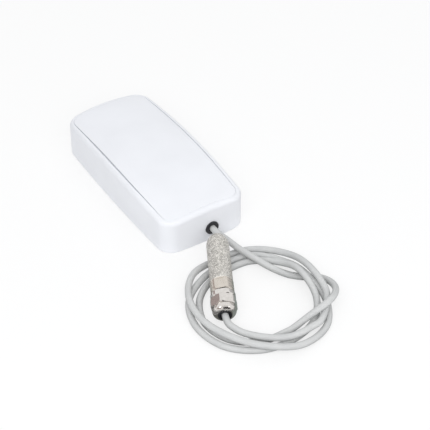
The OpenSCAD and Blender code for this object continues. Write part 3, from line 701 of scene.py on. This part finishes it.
def makePanel():
    edge = panel["edge"]
    levels = [(seam(), share, underCrown(panel["thick"])) for share in box["shares"]]
    levels += [(seam(), 1, underCrown(edge + panel["holdRing"]))]
    for t in quarter(panel["edgeSteps"]):
        levels += [(seam(edge * (1 - math.cos(t))), 1, underCrown(edge * (1 - math.sin(t))))]
    levels += [(seam(edge), share, underCrown(0)) for share in reversed(box["shares"][:-1])]
    bottom, top = box["height"] - panel["thick"], box["height"]
    plate = makeObject("frontPanel", loftBox(levels, bottom, top, slitAt))
    fit = housingFit
    under = crownAt(fit["pegX"], fit["pegY"]) - panel["thick"]
    pegLow = under - panel["seat"] - box["roof"] - fit["pegTip"]
    pegs = bmesh.new()
    for x, y in fourCorners(fit["pegX"], fit["pegY"]):
        post(pegs, x, y, pegLow, under + panel["thick"] / 2, fit["peg"])
    carve(plate, "UNION", pegs)
    return finishPiece(plate, "panelPlastic", "panel_plastic", "panel", "front_panel")


# The four screws under the panel, with a cross in each head
screws = {
    "shank": 1.45,
    "tipRound": 0.4,
    "head": 2.7,
    "headHigh": 1.8,
    "headRound": 0.6,
    "steps": 48,
    "spacing": 0.8,
    "cross": (3.2, 0.75),
    "crossDeep": 0.9,
}


def makeHousingScrews():
    s = screws
    low, high = (corner.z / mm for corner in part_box("housing_screws"))
    seat = high - s["headHigh"]
    bm = bmesh.new()
    turnProfile(bm, [
        (0, low, 0),
        (s["shank"], low, s["tipRound"]),
        (s["shank"], seat, 0),
        (s["head"], seat, 0.1),
        (s["head"], high, s["headRound"]),
        (0, high, 0),
    ], s["steps"], s["spacing"])
    places = fourCorners(housingFit["screwX"], housingFit["screwY"])
    first = bm.verts[:]
    oneScrew = first + bm.edges[:] + bm.faces[:]
    for x, y in places[1:]:
        copied = bmesh.ops.duplicate(bm, geom=oneScrew)["vert_map"]
        bmesh.ops.translate(bm, verts=[copied[vert] for vert in first], vec=(x, y, 0))
    bmesh.ops.translate(bm, verts=first, vec=(*places[0], 0))
    heads = makeObject("housingScrews", bm)
    for wide, deep in (s["cross"], s["cross"][::-1]):
        bars = bmesh.new()
        for x, y in places:
            bar = bmesh.ops.create_cube(bars, size=1)["verts"]
            bmesh.ops.scale(bars, verts=bar, vec=(wide, deep, 2 * s["crossDeep"]))
            bmesh.ops.translate(bars, verts=bar, vec=(x, y, high))
        carve(heads, "DIFFERENCE", bars)
    return finishPiece(heads, "screwSteel", "screw_steel", "box", "housing_screws")


makeHousing()
makePanel()
makeHousingScrews()

# The black grommet in the end wall
grommet = {
    "bore": 2.08,
    "mouthWide": 0.7,
    "mouthDeep": 0.5,
    "flange": 4.4,
    "flangeRound": 0.8,
    "out": 1.4,
    "neck": 3.2,
    "innerFlange": 3.9,
    "inner": 1.2,
    "gap": 0.1,
    "steps": 72,
    "spacing": 0.6,
}


def makeGrommet():
    g = grommet
    innerLow = -box["wall"] - 2 * g["gap"]
    bm = bmesh.new()
    turnProfile(bm, [
        (g["bore"], innerLow - g["inner"], 0.15),
        (g["innerFlange"], innerLow - g["inner"], 0.3),
        (g["innerFlange"], innerLow, 0.15),
        (g["neck"], innerLow, 0),
        (g["neck"], g["gap"], 0),
        (g["flange"], g["gap"], 0.1),
        (g["flange"], g["out"], g["flangeRound"]),
        (g["bore"] + g["mouthWide"], g["out"], 0.3),
        (g["bore"], g["out"] - g["mouthDeep"], 0.2),
    ], g["steps"], g["spacing"])
    bmesh.ops.transform(bm, matrix=cableExit, verts=bm.verts)
    ring = makeObject("cableGrommet", bm)
    return finishPiece(ring, "blackRubber", "black_rubber", "box", "cable_grommet")


cableGrommet = makeGrommet()

# The probe: pieces turned round one axis, which the joints give
mouth = Vector(joints["nut_turn"]["pos_m"]) / mm
probeAxis = Vector(joints["filter_turn"]["axis"])
probe = {
    "steps": 180,
    "spacing": 0.3,
    "nutFlats": 14,
    "nutCorners": 15.5,
    "nutRoll": 15,
    "nutLength": 9.7,
    "domeLength": 3.4,
    "domeFront": -1.0,
    "domeRound": 3.2,
    "domeIn": 0.1,
    "domeSteps": 9,
    "groove": (0.15, 0.12),
    "hexagonStart": (0.25, 0.7),
    "mouth": 3.6,
    "lip": 1.6,
    "nutBore": 5.5,
    "wrenchRoll": -10,
    "collarFlats": 12.4,
    "collarCorners": 14.4,
    "collarStart": 10.1,
    "collarEnd": 13.8,
    "rearThread": 5.3,
    "rearThreadStart": 4.3,
    "rearPitch": 1.5,
    "frontThread": 4.8,
    "frontThreadEnd": 19.8,
    "frontPitch": 1.0,
    "threadDepth": 0.35,
    "threadEnds": (0.4, 0.3),
    "sleeve": 4.1,
    "cableBore": 2.08,
    "pocket": 3.7,
    "pocketStart": 12.5,
    "baseStart": 14.35,
    "baseEnd": 22.55,
    "baseCorners": 13.6,
    "baseFlats": 11.6,
    "baseBore": 5.0,
    "ringSeat": 6.1,
    "ringSeatDepth": 0.75,
    "ringWall": 0.2,
    "spigot": 5.6,
    "spigotLength": 3.5,
    "filterWidth": 13.4,
    "filterEnd": 60.05,
    "filterDome": 9,
    "filterDomeSteps": 24,
    "filterWall": 2,
    "filterGap": 0.1,
    "edge": 0.5,
    "cutterLength": 80,
    "flatCutter": (6, 24),
}


def onProbe(piece):
    heading = math.atan2(probeAxis.y, probeAxis.x)
    fromUp = math.acos(probeAxis.z)
    turned = Matrix.Rotation(heading, 4, "Z") @ Matrix.Rotation(fromUp, 4, "Y")
    piece.data.transform(Matrix.Translation(mouth) @ turned)


def cutHexagon(piece, flats, roll):
    # keeps what lies inside a long hexagon
    bm = bmesh.new()
    radius = flats / 2 / math.cos(math.radians(30))
    bmesh.ops.create_cone(
        bm, cap_ends=True, segments=6, radius1=radius, radius2=radius, depth=probe["cutterLength"],
    )
    turned = Matrix.Rotation(math.radians(roll), 3, "Z")
    bmesh.ops.rotate(bm, verts=bm.verts, cent=(0, 0, 0), matrix=turned)
    carve(piece, "INTERSECT", bm)


def cutTwoFlats(piece, flats, roll, low, high):
    # wrench flats on opposite sides, between two heights
    deep, wide = probe["flatCutter"]
    bm = bmesh.new()
    for turn in (roll, roll + 180):
        made = bmesh.ops.create_cube(bm, size=1)["verts"]
        bmesh.ops.scale(bm, verts=made, vec=(deep, wide, high - low))
        bmesh.ops.translate(bm, verts=made, vec=(flats / 2 + deep / 2, 0, (low + high) / 2))
        turned = Matrix.Rotation(math.radians(turn), 3, "Z")
        bmesh.ops.rotate(bm, verts=made, cent=(0, 0, 0), matrix=turned)
    carve(piece, "DIFFERENCE", bm)


def cutThread(bm, radius, low, high, pitch):
    # a helical groove in the turned surface of that radius
    for vert in bm.verts:
        if abs(vert.co.xy.length - radius) > 0.01 or not low < vert.co.z < high:
            continue
        turn = math.atan2(vert.co.y, vert.co.x) / fullTurn
        wave = 0.5 - 0.5 * math.cos(fullTurn * (vert.co.z / pitch - turn))
        vert.co.xy *= 1 - probe["threadDepth"] * wave / radius


def makeNut():
    p = probe
    corner = p["nutCorners"] / 2
    domeWide = p["nutFlats"] / 2 - p["domeIn"]
    grooveDeep, grooveStart = p["groove"]
    chamferStart, chamferEnd = p["hexagonStart"]
    profile = [(p["mouth"], p["domeFront"] + 0.05, 0)]
    for t in quarter(p["domeSteps"]):
        radius = domeWide - p["domeRound"] * (1 - math.sin(t))
        profile.append((radius, p["domeFront"] + p["domeRound"] * (1 - math.cos(t)), 0))
    profile += [
        (domeWide - grooveDeep, p["domeLength"] + grooveStart, 0),
        (corner - p["edge"], p["domeLength"] + chamferStart, 0.1),
        (corner, p["domeLength"] + chamferEnd, 0.2),
        (corner, p["nutLength"] - p["edge"], 0.2),
        (corner - p["edge"], p["nutLength"], 0.1),
        (p["nutBore"], p["nutLength"], 0.2),
        (p["nutBore"], p["lip"], 0.2),
        (p["mouth"], p["lip"], 0.1),
    ]
    bm = bmesh.new()
    turnProfile(bm, profile, p["steps"], p["spacing"])
    nut = makeObject("glandNut", bm)
    cutHexagon(nut, p["nutFlats"], p["nutRoll"])
    onProbe(nut)
    return finishPiece(nut, "nickelPlate", "nickel_plate", "nut", "gland_nut")


claw = {
    "front": -1.4,
    "tip": 4.05,
    "tipThick": 0.32,
    "wide": 3.45,
    "gape": 2.75,
    "throat": 2.5,
    "collar": 5.2,
    "collarLow": 1.75,
    "end": 4.1,
    "teeth": 16,
    "slot": 0.5,
    "slotDepth": 2.6,
    "slotLong": 1.6,
    "slotIn": 0.25,
    "gapeDepth": 1.5,
    "steps": 96,
    "spacing": 0.5,
}


def makeClaw():
    c = claw
    bm = bmesh.new()
    turnProfile(bm, [
        (c["gape"], c["front"], 0.1),
        (c["tip"], c["front"], 0.1),
        (c["tip"], c["front"] + c["tipThick"], 0.1),
        (c["wide"], c["front"] + c["tipThick"], 0),
        (c["wide"], c["collarLow"], 0.1),
        (c["collar"], c["collarLow"], 0.1),
        (c["collar"], c["end"], 0.2),
        (c["throat"], c["end"], 0.1),
        (c["throat"], c["front"] + c["gapeDepth"], 0.1),
    ], c["steps"], c["spacing"])
    ring = makeObject("glandClaw", bm)
    slots = bmesh.new()
    for i in range(c["teeth"]):
        made = bmesh.ops.create_cube(slots, size=1)["verts"]
        bmesh.ops.scale(slots, verts=made, vec=(c["slotLong"], c["slot"], 2 * c["slotDepth"]))
        bmesh.ops.translate(slots, verts=made, vec=(c["tip"] - c["slotIn"], 0, c["front"]))
        turned = Matrix.Rotation(fullTurn * i / c["teeth"], 3, "Z")
        bmesh.ops.rotate(slots, verts=made, cent=(0, 0, 0), matrix=turned)
    carve(ring, "DIFFERENCE", slots)
    onProbe(ring)
    return finishPiece(ring, "blackPlastic", "black_plastic", "clamp", "gland_claw")


def makeGlandBody():
    p = probe
    corner = p["collarCorners"] / 2
    bm = bmesh.new()
    turnProfile(bm, [
        (p["sleeve"], p["rearThreadStart"], 0.2),
        (p["rearThread"], p["rearThreadStart"], 0.3),
        (p["rearThread"], p["collarStart"], 0),
        (corner - p["edge"], p["collarStart"], 0.1),
        (corner, p["collarStart"] + p["edge"], 0.15),
        (corner, p["collarEnd"] - p["edge"], 0.15),
        (corner - p["edge"], p["collarEnd"], 0.1),
        (p["frontThread"], p["collarEnd"], 0),
        (p["frontThread"], p["frontThreadEnd"], 0.3),
        (p["pocket"], p["frontThreadEnd"], 0.2),
        (p["pocket"], p["pocketStart"], 0),
        (p["cableBore"], p["pocketStart"], 0),
        (p["cableBore"], p["collarStart"], 0),
        (p["sleeve"], p["collarStart"], 0),
    ], p["steps"], p["spacing"])
    tip, root = p["threadEnds"]
    cutThread(bm, p["rearThread"], p["rearThreadStart"] + tip, p["collarStart"] - root, p["rearPitch"])
    cutThread(bm, p["frontThread"], p["collarEnd"] + root, p["frontThreadEnd"] - tip, p["frontPitch"])
    body = makeObject("glandBody", bm)
    low, high = p["collarStart"] - p["edge"], p["collarEnd"] + p["edge"]
    cutTwoFlats(body, p["collarFlats"], p["wrenchRoll"], low, high)
    onProbe(body)
    return finishPiece(body, "nickelPlate", "nickel_plate", "box", "gland_body")


def makeFilterBase():
    p = probe
    corner = p["baseCorners"] / 2
    seatEnd = p["baseStart"] + p["ringSeatDepth"]
    bm = bmesh.new()
    turnProfile(bm, [
        (p["ringSeat"], p["baseStart"], 0),
        (corner - p["edge"], p["baseStart"], 0),
        (corner, p["baseStart"] + p["edge"], 0.15),
        (corner, p["baseEnd"], 0.1),
        (p["spigot"], p["baseEnd"], 0),
        (p["spigot"], p["baseEnd"] + p["spigotLength"], 0.2),
        (p["baseBore"], p["baseEnd"] + p["spigotLength"], 0.1),
        (p["baseBore"], seatEnd, 0),
        (p["ringSeat"], seatEnd, 0),
    ], p["steps"], p["spacing"])
    base = makeObject("filterBase", bm)
    # the flats are shallower beside the O-ring's seat, so that a wall stays round it
    ringFlats = 2 * p["ringSeat"] + 2 * p["ringWall"]
    cutTwoFlats(base, ringFlats, p["wrenchRoll"], p["baseStart"] - 1, seatEnd + 0.3)
    cutTwoFlats(base, p["baseFlats"], p["wrenchRoll"], seatEnd + p["ringWall"], p["baseEnd"] + 0.001)
    onProbe(base)
    return finishPiece(base, "filterSteel", "filter_steel", "filter", "filter_base")


grains = {
    "steps": 210,
    "spacing": 0.2,
    "size": 0.78,
    "seed": Vector((3.1, 7.7, 1.9)),
    "gapWidth": (1.15, 1.6),
    "coarseSize": 2.2,
    "poreShares": (0.75, 0.25),
    "poreDepth": 1.5,
    "rise": 0.16,
    "crest": 0.35,
    "sink": 0.8,
    "plainEnd": 0.15,
    "plainPore": 0.1,
}


def domeLine(radius, start, length):
    # a quarter of an ellipse, from the side to the middle of the end
    points = []
    for step in range(probe["filterDomeSteps"]):
        angle = fullTurn / 4 * step / probe["filterDomeSteps"]
        points.append((radius * math.cos(angle), start + length * math.sin(angle), 0))
    return points + [(0, start + length, 0)]


def makeFilterShell():
    p = probe
    outer = p["filterWidth"] / 2
    inner = outer - p["filterWall"]
    shoulder = p["filterEnd"] - p["filterDome"]
    seat = p["spigot"] + p["filterGap"]
    seatEnd = p["baseEnd"] + p["spigotLength"] + p["filterGap"]
    profile = [(seat, p["baseEnd"], 0), (outer, p["baseEnd"], 0.1)]
    profile += domeLine(outer, shoulder, p["filterDome"])
    profile += reversed(domeLine(inner, shoulder, p["filterDome"] - p["filterWall"]))
    profile += [(inner, seatEnd, 0), (seat, seatEnd, 0)]
    bm = bmesh.new()
    turnProfile(bm, profile, grains["steps"], grains["spacing"])
    pore = bm.verts.layers.float.new("pore")
    bm.normal_update()
    widest, slope = grains["gapWidth"]
    fine, cloudy = grains["poreShares"]
    for vert in bm.verts:
        if vert.co.z <= p["baseEnd"] + grains["plainEnd"]:
            vert[pore] = grains["plainPore"]
            continue
        near, second = noise.voronoi(vert.co / grains["size"] + grains["seed"])[0][:2]
        gap = max(0.0, min(1.0, widest - slope * (second - near)))
        coarse = 0.5 + 0.5 * noise.noise(vert.co / (grains["coarseSize"] * grains["size"]))
        # pore: painted shade in the gaps between grains, plus a random cloudy tone
        vert[pore] = fine * gap ** grains["poreDepth"] + cloudy * coarse
        fromMiddle = Vector((vert.co.x, vert.co.y, max(0, vert.co.z - shoulder)))
        if vert.normal.dot(fromMiddle) > 0:  # outside
            vert.co += vert.normal * grains["rise"] * (grains["crest"] - gap * grains["sink"])
    shell = makeObject("filterShell", bm)
    onProbe(shell)
    return finishPiece(shell, "sinteredMetal", "sintered_metal", "filter", "filter_shell")


glandNut = makeNut()
glandClaw = makeClaw()
glandBody = makeGlandBody()
filterBase = makeFilterBase()
filterShell = makeFilterShell()

# The cable: its route in millimetres, from the box over the coil to the gland
cable = {
    "diameter": 4.0,
    "stub": 4.0,
    "intoGland": (0, 4, 12.5),
    "coilMiddle": (-4, -122),
    "coilStart": 270,
    "coilStep": 30,
    "roundness": 7,
    "fineness": 10,
}
leadIn = [
    (3.5, -69.5, 9.3), (5.5, -74, 8), (7, -78.5, 7.1), (8, -83.5, 6.8), (9.5, -89, 6.6),
    (11, -94.5, 6.6), (13, -100.5, 6.3), (16, -105.5, 4.8), (20, -110.5, 3), (24, -115, 2),
    (28.5, -119.5, 2), (33, -122.5, 2), (37, -126, 2.2), (39, -131, 3.2), (38.5, -137, 5),
    (36, -142.5, 7.2), (32, -147, 9.4), (27.5, -150.5, 11.2), (22.5, -152.5, 11.6),
    (17.5, -153, 10.6), (12, -152.5, 8), (7, -152, 5.4), (2, -152, 3.5),
]
coilTurns = [  # radius and height at every twelfth of a turn, clockwise from the front
    (30, 2.5), (32.5, 2), (35, 2), (35, 2), (33, 2), (31, 2),
    (30.5, 2), (33, 2), (31.5, 5.5), (29.5, 10.5), (33.5, 4.5), (35.5, 2),
    (36.5, 2), (39, 2), (41, 2), (40.5, 2), (39, 2), (36, 2),
    (35.5, 2), (38, 2), (36, 2.5), (33, 6.8), (39, 2), (43.5, 2),
    (44, 4.2), (40, 6.8), (36.5, 6.6), (37, 6.5), (39, 6.6), (41, 5),
    (40.5, 2), (43, 2), (40, 5.5), (36, 10.5), (39.5, 6.8), (40.5, 6.7),
]
leadOut = [
    (6.5, -159.5, 6.6), (-3, -160, 6.6), (-10.5, -158, 6.6), (-17, -154, 6.6),
    (-22.5, -149, 6.6), (-27, -143.5, 6.6), (-29.5, -138, 6.7), (-30.5, -132.5, 7),
]


def cableRoute():
    front = -box["length"] / 2
    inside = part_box("cable")[1].y / mm
    route = [(housingFit["cableX"], y, housingFit["cableZ"]) for y in (inside, front, front - cable["stub"])]
    route += leadIn
    middleX, middleY = cable["coilMiddle"]
    for i, (radius, height) in enumerate(coilTurns):
        turn = math.radians(cable["coilStart"] - cable["coilStep"] * i)
        route.append((middleX + radius * math.cos(turn), middleY + radius * math.sin(turn), height))
    route += leadOut
    route += [mouth + probeAxis * s for s in cable["intoGland"]]
    return [Vector(point) for point in route]


def layCable():
    route = cableRoute()
    radius = cable["diameter"] / 2
    data = bpy.data.curves.new("cable", "CURVE")
    data.dimensions = "3D"
    data.bevel_depth = radius * mm
    data.bevel_resolution = cable["roundness"]
    data.resolution_u = cable["fineness"]
    data.use_fill_caps = True
    spline = data.splines.new("BEZIER")
    spline.bezier_points.add(len(route) - 1)
    last = len(route) - 1
    for i, point in enumerate(spline.bezier_points):
        reach = (route[min(i + 1, last)] - route[max(i - 1, 0)]) / 6
        before = route[i] - reach
        after = route[i] + reach
        before.z = max(before.z, radius)  # no lower than the floor lets it lie
        after.z = max(after.z, radius)
        point.handle_left_type = "FREE"
        point.handle_right_type = "FREE"
        point.co = route[i] * mm
        point.handle_left = before * mm
        point.handle_right = after * mm
    laid = bpy.data.objects.new("cableLine", data)
    scene.collection.objects.link(laid)
    data.materials.append(looks["cableJacket"])
    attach(laid, "box")
    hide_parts("cable")
    print("cable laid:", len(route), "points")


layCable()

# Finishes of the pieces that stay as they are in the frame
nodeLooks = {
    "base_plate": "basePlastic",
    "base_seal": "blackRubber",
    "main_board": "boardLaminate",
    "board_screws": "screwSteel",
    "radio_module": "tinShield",
    "antenna": "palePlastic",
    "main_chip": "blackPlastic",
    "status_led": "ledLens",
    "button_body": "blackPlastic",
    "button_plunger": "palePlastic",
    "battery_holder": "blackPlastic",
    "battery_cell_left": "cellWrap",
    "battery_cell_right": "cellWrap",
    "battery_springs": "contactMetal",
    "battery_contacts": "contactMetal",
    "board_socket": "palePlastic",
    "cable_plug": "palePlastic",
    "lead_wires": "wireInsulation",
    "cable_tie": "blackPlastic",
    "gland_seal": "blackRubber",
    "probe_o_ring": "blackRubber",
    "sensor_board": "boardLaminate",
    "sensor_chip": "blackPlastic",
}
for name, look in nodeLooks.items():
    nodes[name].data.materials.clear()
    nodes[name].data.materials.append(looks[look])
print("frame nodes finished:", len(nodeLooks))
